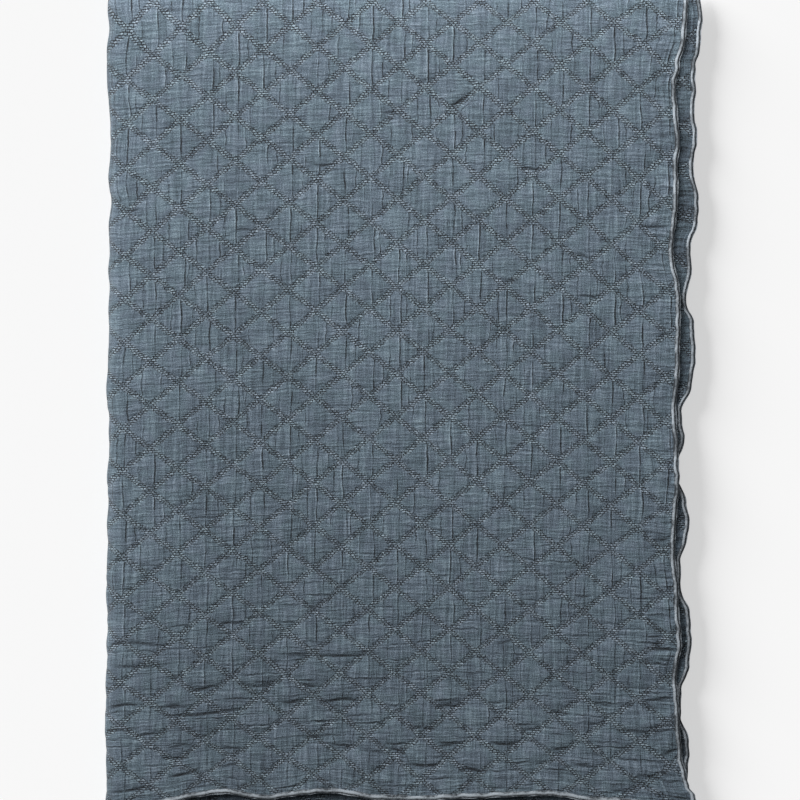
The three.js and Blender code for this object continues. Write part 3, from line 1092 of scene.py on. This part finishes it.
@dataclass(frozen=True)
class OverlockThread:
    """Soft spun thread, sewn close over the edge in a roll. It gives the eye a pale dull cord with
    fine ribs across it and a groove before its outer thread. Painted shade darkens the groove, the
    outer thread, the inner side and the gaps between the ribs, and painted light makes the hem at
    the near end paler."""

    pale: str = "a0a9b1"
    # the colour that painted shade and the thread's duller patches mix towards
    groove: str = "242b31"
    roughness: float = 0.85
    sheen: float = 0.2
    groove_at: float = 3.9  # the groove's way out from the cloth, in millimetres
    thread: float = 2.7  # from thread to thread along the edge
    stray: float = 4.5  # how far the groove strays in and out
    end_rim: tuple[float, float] = (-0.425, -0.44)  # where the hem at the near end sets in, in Y
    end_turn: float = 0.6  # how far that hem's painted shade is moved out, as if it were turned up to the light
    end_painted_light: float = 0.3  # and how much paler painted light makes it

    def shade(self, tree: Tree, out: Given) -> bpy.types.Node:
        """The painted shade across the roll.

        Args:
            tree: The material's nodes.
            out: The way out from the cloth.

        Returns:
            How dark painted shade makes the groove, the outer thread and the inner side.
        """
        from_groove = tree.math("SUBTRACT", out, self.groove_at)
        groove = tree.ramp(tree.math("ABSOLUTE", from_groove), 1.2, 0.4, 0.0, 0.95)
        outer = tree.ramp(from_groove, 0.0, 0.6, 0.0, 0.45)
        inner = tree.ramp(out, 0.7, -0.1, 0.0, 0.6)
        return tree.math("MAXIMUM", tree.math("MAXIMUM", groove, outer), inner)

    def make(self) -> bpy.types.Material:
        """Makes the material, which follows the rim's own map.

        Returns:
            The material.
        """
        tree = Tree.new("overlock_thread")
        rim = tree.vector("SCALE", tree.add("UVMap", uv_map="rim"), {"Scale": 1.0 / MM})
        split = tree.add("SeparateXYZ", rim)
        along, out = split.outputs["X"], split.outputs["Y"]
        slow = tree.add("TexNoise", {"W": along, "Scale": 0.035, "Detail": 2.0}, noise_dimensions="1D")
        slow = tree.math("SUBTRACT", slow, 0.5)
        place = tree.add("SeparateXYZ", tree.add("TexCoord").outputs["Object"]).outputs["Y"]
        at_end = tree.ramp(place, *self.end_rim, 0.0, 1.0)
        out = tree.weigh(out, (slow, self.stray), (at_end, -self.end_turn))
        # painted shade in the gaps between the threads' ribs
        rib = tree.math("PINGPONG", tree.math("DIVIDE", along, self.thread / 2.0), 0.5)
        rib = tree.ramp(rib, 0.16, 0.0, 0.0, 0.18)
        fuzz = tree.ramp(tree.noise(rim, 0.32, 3.0, 0.6), 0.35, 0.65, -0.1, 0.32)
        # duller patches along the thread, and painted light that makes the near end paler
        dull = tree.weigh(tree.ramp(slow, -0.12, 0.12, 0.44, -0.06), (at_end, -self.end_painted_light))
        dark = tree.math("ADD", rib, self.shade(tree, out))
        dark = tree.math("ADD", dull, dark)
        dark = tree.add("Math", fuzz, dark, operation="ADD", use_clamp=True)
        colour = tree.add("Mix", dark, to_linear(self.pale), to_linear(self.groove), data_type="RGBA")
        height = tree.math("MULTIPLY", dark, -0.4)
        bump = tree.add("Bump", {"Strength": 1.0, "Distance": MM, "Height": height})
        shader = tree.add(
            "BsdfPrincipled",
            {"Base Color": colour, "Roughness": self.roughness, "Sheen Weight": self.sheen, "Normal": bump},
        )
        tree.add("OutputMaterial", shader)
        return tree.material


@dataclass(frozen=True)
class Coverlet:
    """The quilted panel: one thin closed sheet of cloth, folded in four."""

    folding: Folding = field(default_factory=Folding)
    steps: int = 7  # steps in half a diamond on the faces that show
    hidden_steps: int = 2
    back_steps: int = 3  # the same along the back layers, whose side hem shows
    end_fold_steps: int = 8
    side_fold_step: float = 2.2
    hem_puff: float = 0.3  # the share of the puff that is left at a hem
    hem_flat: float = 26.0  # and how far in from a hem it is all there
    uneven_puff: float = 0.3
    near_third: float = -130.0  # where the part that is crumpled most sets in, in Y
    near_fades: float = 160.0  # and the length over which it does
    hem_crumples: float = 70.0  # how far in from the side hem it is crumpled more
    crumple: float = 0.16
    crumple_near: float = 0.32
    crumple_side: float = 0.34
    crease_wide: float = 4.2  # half the width of a crease's trough
    crease_reach: float = 9.0  # how far from its line a crease is noted for the cloth's finish
    crease_stray: float = 1.3  # how far its line bends from straight
    crease_bank: float = 0.4  # how high its far side is banked up, as a share of its depth
    inner_step: float = 6.0  # from column to column of the inner face near the top hem
    inner_fine: float = 80.0  # how far in from a hem its columns are fine
    flat_size: tuple[float, float] = (1.29, 1.83)  # of the panel laid out, in metres

    def outer_runs(self) -> np.ndarray:
        """The outer face's columns: fine on the top and round the fold, coarse underneath.

        Returns:
            Their ways from the top side hem.
        """
        f, q = self.folding, self.folding.quilting
        top = f.hem_x - q.net_lines(f.fold_x, f.hem_x, q.crossing_x, q.across, self.steps)[::-1]
        bend = np.arange(1, round(f.fold_run / self.side_fold_step)) * self.side_fold_step + f.top_run
        end_x = f.hem_x - f.whole_run
        start_x = f.fold_x - f.fold_run
        under = f.hem_x - q.net_lines(end_x, start_x, q.crossing_x, q.across, self.hidden_steps)[::-1]
        return np.concatenate([top, bend, under])

    def inner_runs(self) -> np.ndarray:
        """The inner face's columns: fine near the top hem, where the second layer shows.

        Returns:
            Their ways from the top side hem.
        """
        f = self.folding
        near_hem = np.arange(0.0, self.inner_fine, self.inner_step)
        top = np.linspace(self.inner_fine + 10.0, f.top_run, 24)
        bend = np.linspace(f.top_run, f.top_run + f.fold_run, 12)[1:]
        under = np.linspace(f.top_run + f.fold_run, f.whole_run - self.inner_fine, 20)[1:]
        last = np.linspace(f.whole_run - 75.0, f.whole_run, 6)
        return np.concatenate([near_hem, top, bend, under, last])

    def rows(self, steps: int) -> tuple[np.ndarray, np.ndarray]:
        """The rows of a face.

        Args:
            steps: How many steps half a diamond takes on the front half.

        Returns:
            The rows' places along the panel, and their turns round the end fold.
        """
        f, q = self.folding, self.folding.quilting
        front = q.net_lines(f.row_start, f.row_end, q.crossing_y, q.down, steps)
        back = q.net_lines(f.row_start, f.row_end, q.crossing_y, q.down, self.back_steps)[::-1]
        turns = np.arange(1, self.end_fold_steps) / self.end_fold_steps
        y = np.concatenate([front, np.full_like(turns, f.row_end), back])
        turn = np.concatenate([np.zeros_like(front), turns, np.ones_like(back)])
        return y, turn

    def puff(self, run: np.ndarray, y: np.ndarray, turn: np.ndarray) -> np.ndarray:
        """How far the outer face stands above its seams.

        Args:
            run: The way from the top side hem.
            y: The place along the panel.
            turn: The turn round the end fold.

        Returns:
            The height at each place.
        """
        f = self.folding
        net_x, net_y = f.net_place(run, y, turn)
        from_rim = np.minimum.reduce([run, f.whole_run - run, y - f.row_start, f.row_end - y])
        full = mix(self.hem_puff, 1.0, ease(from_rim / self.hem_flat))
        lively = 1.0 + self.uneven_puff * sway(net_x + 40.0, net_y, 38.0)
        raised = f.quilting.pillow(net_x, net_y) * full * lively
        return f.puff * mix(raised, 1.0, f.pressed_flat(run, y))

    def crease_at(self, x: np.ndarray, y: np.ndarray) -> tuple[np.ndarray, np.ndarray, np.ndarray]:
        """The creases at places of the top.

        Args:
            x: Places in X.
            y: Places in Y.

        Returns:
            The height that they add, the way from the nearest one, and how strong that one is.
        """
        height = np.zeros_like(x)
        way = np.full_like(x, self.crease_reach)
        strong = np.zeros_like(x)
        for i, crease in enumerate(CREASES):
            start = np.array([crease.start_x, crease.start_y])
            along = np.array([crease.end_x, crease.end_y]) - start
            length = np.hypot(*along)
            along = along / length
            share = ((x - start[0]) * along[0] + (y - start[1]) * along[1]) / length
            aside = (y - start[1]) * along[0] - (x - start[0]) * along[1]
            aside = aside + self.crease_stray * np.sin(share * (4.0 + i % 3) + i)
            inside = (share > 0.0) & (share < 1.0)
            taper = np.where(inside, np.sin(np.clip(share, 0.0, 1.0) * math.pi) ** 0.7, 0.0)
            bank = hump(aside - 2.0 * self.crease_wide, self.crease_wide)
            trough = hump(aside, self.crease_wide) - self.crease_bank * bank
            height -= crease.depth * taper * trough
            here = taper * crease.depth * (np.abs(aside) < self.crease_reach)
            stronger = here > strong
            way = np.where(stronger, aside, way)
            strong = np.where(stronger, here, strong)
        return height, way, strong

    def relief(self, run: np.ndarray, y: np.ndarray, turn: np.ndarray) -> tuple[np.ndarray, ...]:
        """The unevenness of the upper layers.

        Args:
            run: The way from the top side hem.
            y: The place along the panel.
            turn: The turn round the end fold.

        Returns:
            Its height, the way to the nearest crease, and how strong that one is.
        """
        f = self.folding
        x, y_settled = self.top_place(run, y)
        upper = 1.0 - ease((run - f.top_run - 0.5 * f.fold_run) / (0.4 * f.fold_run))
        nearness = ease((self.near_third - y_settled) / self.near_fades)
        side = near(run, self.hem_crumples)
        # Two soft waves, then a fine crumple, then pinches round the side fold
        soft = 0.45 * sway(x, y_settled, 120.0) + 0.2 * sway(x + 90.0, y_settled, 34.0)
        crumpled = self.crumple + self.crumple_near * nearness + self.crumple_side * side
        soft = soft + sway(x / 2.6 + 20.0, y_settled, 9.5) * crumpled
        at_fold = hump(x - f.fold_x, 26.0)
        soft = soft + 0.5 * at_fold * sway(y_settled * 0.2, y_settled, 17.0)
        height, way, strong = self.crease_at(x, y_settled)
        front = np.where(turn > 0.0, 0.0, 1.0)
        share = np.where(turn > 0.0, 0.5, 1.0)
        return (soft * share + height * front) * upper, way, strong * front * upper

    def face(
        self, layer: Layer, runs: np.ndarray, rows: tuple[np.ndarray, np.ndarray]
    ) -> dict[str, np.ndarray]:
        """One face of the cloth as a grid.

        Args:
            layer: Which face it is.
            runs: Its columns.
            rows: Its rows, as places and turns.

        Returns:
            The grid's points, its places on the panel, and the crease's way and strength.
        """
        f = self.folding
        y, run = np.meshgrid(rows[0], runs, indexing="ij")
        turn = np.broadcast_to(rows[1][:, None], y.shape)
        relief, way, strong = self.relief(run, y, turn)
        if layer is Layer.OUTER:
            spread = f.outside + self.puff(run, y, turn)
        else:
            spread = np.full_like(run, f.inside)
            relief = relief - self.crease_at(*self.top_place(run, y))[0] * (turn == 0.0)
        points = f.lie(run, y, turn, spread, relief)
        _, net_y = f.net_place(run, y, turn)
        panel = np.stack([run, net_y - f.row_start], axis=-1) * MM
        return {"points": points, "panel": panel, "way": way, "strong": strong}

    def top_place(self, run: np.ndarray, y: np.ndarray) -> tuple[np.ndarray, np.ndarray]:
        """The place in X and Y of the top's even net, before its hems move it."""
        run_settled, y_settled = self.folding.settle(run, y)
        return self.folding.hem_x - run_settled, y_settled

    def grid_faces(self, ids: np.ndarray, panel: np.ndarray, layer: Layer) -> np.ndarray:
        """The triangles of a face, each quad cut the way that its seam runs.

        Args:
            ids: The grid's points, by number.
            panel: Their places on the panel.
            layer: Which face it is.

        Returns:
            One row of three corners for each triangle.
        """
        f = self.folding
        a, b, c, d = ids[:-1, :-1], ids[:-1, 1:], ids[1:, 1:], ids[1:, :-1]
        middle = (panel[:-1, :-1] + panel[1:, 1:]) / 2.0 / MM
        across, down = f.quilting.phases(f.hem_x - middle[..., 0], f.row_start + middle[..., 1])
        rising = (np.floor(2.0 * across) + np.floor(2.0 * down)) % 2 == 0
        first = np.where(rising[..., None], np.stack([a, d, b], -1), np.stack([a, d, c], -1))
        second = np.where(rising[..., None], np.stack([d, c, b], -1), np.stack([a, c, b], -1))
        faces = np.concatenate([first.reshape(-1, 3), second.reshape(-1, 3)])
        return faces if layer is Layer.OUTER else faces[:, ::-1]

    def stitch(
        self, lower: np.ndarray, upper: np.ndarray, lower_at: np.ndarray, upper_at: np.ndarray
    ) -> list[tuple[int, int, int]]:
        """The triangles that fill the strip between two lines of points.

        Args:
            lower: The first line's points.
            upper: The second line's points.
            lower_at: The first line's places along the strip.
            upper_at: The second line's places.

        Returns:
            The triangles.
        """
        faces, i, j = [], 0, 0
        while i < len(lower) - 1 or j < len(upper) - 1:
            lower_next = lower_at[i + 1] if i < len(lower) - 1 else math.inf
            upper_next = upper_at[j + 1] if j < len(upper) - 1 else math.inf
            if lower_next <= upper_next:
                faces.append((lower[i], upper[j], lower[i + 1]))
                i += 1
            else:
                faces.append((lower[i], upper[j], upper[j + 1]))
                j += 1
        return faces

    def build(self) -> bpy.types.Object:
        """Builds the cloth as one closed sheet.

        Returns:
            The piece, with its places on the panel and its creases.
        """
        outer = self.face(Layer.OUTER, self.outer_runs(), self.rows(self.steps))
        inner = self.face(Layer.INNER, self.inner_runs(), self.rows(self.hidden_steps))
        count = outer["way"].size
        outer_ids = np.arange(count).reshape(outer["way"].shape)
        inner_ids = count + np.arange(inner["way"].size).reshape(inner["way"].shape)
        faces = [
            self.grid_faces(outer_ids, outer["panel"], Layer.OUTER),
            self.grid_faces(inner_ids, inner["panel"], Layer.INNER),
        ]
        along = [outer["panel"][:, 0, 1], inner["panel"][:, 0, 1]]
        run = [outer["panel"][0, :, 0], inner["panel"][0, :, 0]]
        rim = self.stitch(outer_ids[:, 0], inner_ids[:, 0], along[0], along[1])
        rim += self.stitch(inner_ids[:, -1], outer_ids[:, -1], along[1], along[0])
        rim += self.stitch(inner_ids[0], outer_ids[0], run[1], run[0])
        rim += self.stitch(outer_ids[-1], inner_ids[-1], run[0], run[1])
        faces.append(np.array(rim))

        def both(name: str, width: int) -> np.ndarray:
            """What both faces have under that name, one row for each point."""
            return np.concatenate([grid[name].reshape(-1, width) for grid in (outer, inner)])

        piece = make_mesh("coverlet_cloth", both("points", 3), np.concatenate(faces))
        add_map(piece, "panel", both("panel", 2))
        add_attribute(piece, "crease_way", both("way", 1).ravel())
        add_attribute(piece, "crease_depth", both("strong", 1).ravel())
        return piece

    def dress(self, piece: bpy.types.Object, edging: bpy.types.Object) -> None:
        """Gives the cloth its finish and says what it stands for.

        Args:
            piece: The cloth.
            edging: The roll that is sewn to it. Not used.
        """
        piece.data.materials.append(QuiltedGauze(folding=self.folding).make())
        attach(piece, "root")
        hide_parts("coverlet")


@dataclass(frozen=True)
class Edging:
    """The overlocked roll of thread along all four edges of the panel."""

    folding: Folding = field(default_factory=Folding)
    sink: float = 0.9  # its middle, below the cloth's seams
    ring_step: float = 0.9
    corner_steps: int = 10
    end_fold_rings: int = 10
    thread_rings: tuple[float, ...] = (0.93, 1.0, 1.0)  # a thread's rings, as shares of its height
    slant: float = 0.5  # how far a thread slants along the edge from the middle to its side
    swell: float = 0.14  # the share by which the roll swells and thins along the edge
    stray: float = 0.5  # how far it strays to either side
    # The roll's upper half across the edge: the way out from the cloth, and the height
    profile: tuple[tuple[float, float], ...] = (
        (-0.7, 1.1),
        (0.4, 1.8),
        (2.0, 2.0),
        (3.4, 1.5),
        (4.1, 0.5),
        (5.2, 0.75),
    )

    def frames(self, run: Number, y: Number, turn: Number, in_run: float, in_y: float) -> np.ndarray:
        """Places on the cloth's rim, each with the way up from the cloth and the way out of it.

        Args:
            run: The places' runs.
            y: Their places along the panel.
            turn: Their turns.
            in_run: The step in run that leads into the cloth.
            in_y: The step along the panel that leads into it.

        Returns:
            One row for each place, with its point, its way up and its way out.
        """
        f = self.folding
        spread = f.outside - self.sink
        run, y, turn = np.broadcast_arrays(run, y, turn)
        relief = Coverlet(folding=f).relief(run.astype(float), y.astype(float), turn.astype(float))[0]
        base = f.lie(run, y, turn, spread, relief)
        up = f.lie(run, y, turn, spread + 1.0, relief) - base
        up = up / np.linalg.norm(up, axis=-1, keepdims=True)
        out = base - f.lie(run + in_run, y + in_y, turn, spread, relief)
        out = out - up * np.sum(out * up, axis=-1, keepdims=True)
        out = out / np.linalg.norm(out, axis=-1, keepdims=True)
        return np.stack([base, up, out], axis=1)

    def corner(self, first: np.ndarray, second: np.ndarray) -> np.ndarray:
        """The frames that turn round a corner, from the way out of one edge to that of the next.

        Args:
            first: The last frame of the one edge.
            second: The first frame of the next.

        Returns:
            The frames between them.
        """
        angle = (np.arange(1, self.corner_steps) / self.corner_steps * math.pi / 2.0)[:, None]
        out = first[2] * np.cos(angle) + second[2] * np.sin(angle)
        out = out / np.linalg.norm(out, axis=-1, keepdims=True)
        fixed = np.broadcast_to(first[:2], (len(angle), 2, 3))
        return np.concatenate([fixed, out[:, None]], axis=1)

    def loop(self) -> np.ndarray:
        """The frames all round the panel.

        Returns:
            One row for each place, with its point, its way up and its way out.
        """
        f = self.folding
        length = f.row_end - f.row_start
        half = np.linspace(f.row_start, f.row_end, round(length / self.ring_step))
        turns = np.linspace(0.0, 1.0, self.end_fold_rings)[1:-1]
        y = np.concatenate([half, np.full_like(turns, f.row_end), half[::-1]])
        turn = np.concatenate([np.zeros_like(half), turns, np.ones_like(half)])
        runs = np.linspace(0.0, f.whole_run, round(f.whole_run / self.ring_step))
        edges = [
            self.frames(0.0, y, turn, 1.0, 0.0),
            self.frames(runs, f.row_start, 1.0, 0.0, 1.0),
            self.frames(f.whole_run, y, turn, -1.0, 0.0)[::-1],
            self.frames(runs, f.row_start, 0.0, 0.0, 1.0)[::-1],
        ]
        parts = []
        for i, edge in enumerate(edges):
            parts += [edge, self.corner(edge[-1], edges[(i + 1) % 4][0])]
        return np.concatenate(parts)

    def build(self) -> bpy.types.Object:
        """Builds the roll, closed on itself round the cloth.

        Returns:
            The piece, with a map of the way along the rim and out from it.
        """
        loop = self.loop()
        base, up, out = loop[:, 0], loop[:, 1], loop[:, 2]
        ahead = np.roll(base, -1, axis=0) - np.roll(base, 1, axis=0)
        ahead = ahead / np.maximum(np.linalg.norm(ahead, axis=1, keepdims=True), 1e-6)
        section = [(away, -high) for away, high in self.profile]
        section += [(away, high) for away, high in reversed(self.profile)]
        whole_threads = len(loop) // len(self.thread_rings) * len(self.thread_rings)
        shares = np.resize(self.thread_rings, len(loop))[:, None]
        shares[whole_threads:] = 1.0
        steps = np.linalg.norm(np.diff(base, axis=0, prepend=base[:1]), axis=1)
        way = np.cumsum(steps)[:, None]
        shares = shares * (1.0 + self.swell * sway(way, 0.3 * way, 11.0))
        base = base + out * self.stray * sway(0.4 * way + 50.0, way, 8.0)
        slant = self.slant / max(high for _, high in self.profile)
        rings = np.stack(
            [base + out * away + up * high * shares + ahead * slant * high for away, high in section],
            axis=1,
        )
        sides = len(section)
        ids = np.arange(len(loop) * sides).reshape(len(loop), sides)
        a, b = ids, np.roll(ids, -1, axis=0)
        c, d = np.roll(b, -1, axis=1), np.roll(a, -1, axis=1)
        faces = [np.stack(corners, -1).reshape(-1, 3) for corners in ([a, b, c], [a, c, d])]
        piece = make_mesh("coverlet_edging", rings.reshape(-1, 3), np.concatenate(faces))
        way = np.repeat(way, sides, axis=1)
        away = np.broadcast_to(np.array([place[0] for place in section]), way.shape)
        add_map(piece, "rim", np.stack([way, away], -1).reshape(-1, 2) * MM)
        return piece

    def dress(self, piece: bpy.types.Object) -> None:
        """Gives the roll its finish and says what it stands for.

        Args:
            piece: The roll.
        """
        piece.data.materials.append(OverlockThread().make())
        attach(piece, "root")
        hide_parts("edging")


@dataclass(frozen=True)
class Studio:
    """A plain pale floor, soft light from the far left, and a camera straight above."""

    view_x: float = -4.5  # the middle of the picture, and its width at the cloth's height
    view_y: float = -1.1
    view_width: float = 896.0
    view_height: float = 18.0
    camera_above: float = 3200.0
    floor_size: float = 9.0
    floor_colour: str = "f0f0f0"
    floor_glow: float = 0.53
    sky: float = 0.12
    backdrop: float = 0.93  # how bright the sky looks to the camera, as bright as the floor

    def floor(self) -> bpy.types.Object:
        """Lays the floor, which also glows a little, as paper on a light table does.

        Returns:
            The floor.
        """
        bpy.ops.mesh.primitive_plane_add(size=self.floor_size, location=(0.0, 0.0, 0.0))
        floor = bpy.context.active_object
        floor.name = "floor"
        tree = Tree.new("pale_paper")
        shader = tree.add(
            "BsdfPrincipled",
            {
                "Base Color": to_linear(self.floor_colour),
                "Roughness": 1.0,
                "Specular IOR Level": 0.0,
                "Emission Color": (1.0, 1.0, 1.0, 1.0),
                "Emission Strength": self.floor_glow,
            },
        )
        tree.add("OutputMaterial", shader)
        floor.data.materials.append(tree.material)
        return floor

    def hang(self, lamp: Lamp, lit: bpy.types.Collection) -> None:
        """Hangs one lamp, which doesn't show itself.

        Args:
            lamp: The lamp.
            lit: What it lights, and nothing else.
        """
        data = bpy.data.lights.new(lamp.name, lamp.kind.value)
        data.energy = lamp.strength
        if lamp.kind is LampKind.WINDOW:
            data.angle = math.radians(lamp.sizes[0])
        else:
            data.shape = "RECTANGLE"
            data.size, data.size_y = lamp.sizes
        light = bpy.data.objects.new(lamp.name, data)
        light.location = lamp.place
        towards = Vector(lamp.at) - Vector(lamp.place)
        light.rotation_euler = towards.to_track_quat("-Z", "Y").to_euler()
        light.visible_camera = False
        light.light_linking.receiver_collection = lit
        bpy.context.scene.collection.objects.link(light)

    def lights(self, lit: dict[Lit, list[bpy.types.Object]]) -> None:
        """Sets up the sky, which the camera sees brighter than it lights, and hangs the lamps.

        Args:
            lit: What each kind of lamp lights.
        """
        world = bpy.data.worlds.new("pale_sky")
        world.use_nodes = True
        nodes, links = world.node_tree.nodes, world.node_tree.links
        background = nodes["Background"]
        background.inputs["Color"].default_value = (1.0, 1.0, 1.0, 1.0)
        seen = nodes.new("ShaderNodeLightPath").outputs["Is Camera Ray"]
        strength = nodes.new("ShaderNodeMapRange")
        strength.inputs["To Min"].default_value = self.sky
        strength.inputs["To Max"].default_value = self.backdrop
        links.new(seen, strength.inputs["Value"])
        links.new(strength.outputs["Result"], background.inputs["Strength"])
        bpy.context.scene.world = world
        takers = {}
        for kind, things in lit.items():
            takers[kind] = bpy.data.collections.new(kind.value + "_only")
            for thing in things:
                takers[kind].objects.link(thing)
        for lamp in LAMPS:
            self.hang(lamp, takers[lamp.lights])

    def camera(self) -> None:
        """Sets up a long lens straight above, with the picture's top towards +Y."""
        data = bpy.data.cameras.new("camera")
        above = self.camera_above - self.view_height
        data.lens = data.sensor_width * above / self.view_width
        data.clip_end = 100.0
        camera = bpy.data.objects.new("camera", data)
        camera.location = (
            (self.view_x + ORIGIN[0]) * MM,
            (self.view_y + ORIGIN[1]) * MM,
            self.camera_above * MM,
        )
        bpy.context.scene.collection.objects.link(camera)
        bpy.context.scene.camera = camera
        bpy.context.scene.view_settings.view_transform = "Standard"


def report(piece: bpy.types.Object) -> None:
    """Reports a piece that was built, with its size in points and faces."""
    log.info("%s: %d points, %d faces", piece.name, len(piece.data.vertices), len(piece.data.polygons))


def main() -> None:
    """Builds the coverlet and its studio, and writes how large the model came out."""
    logging.basicConfig(level=logging.INFO, format="%(name)s: %(message)s")
    studio = Studio()
    studio.camera()
    floor = studio.floor()
    report(floor)
    coverlet = Coverlet()
    cloth = coverlet.build()
    report(cloth)
    edging = Edging()
    roll = edging.build()
    report(roll)
    edging.dress(roll)
    coverlet.dress(cloth, roll)
    studio.lights({Lit.FLOOR: [floor], Lit.CLOTH: [cloth, roll]})


if __name__ == "__main__":
    main()
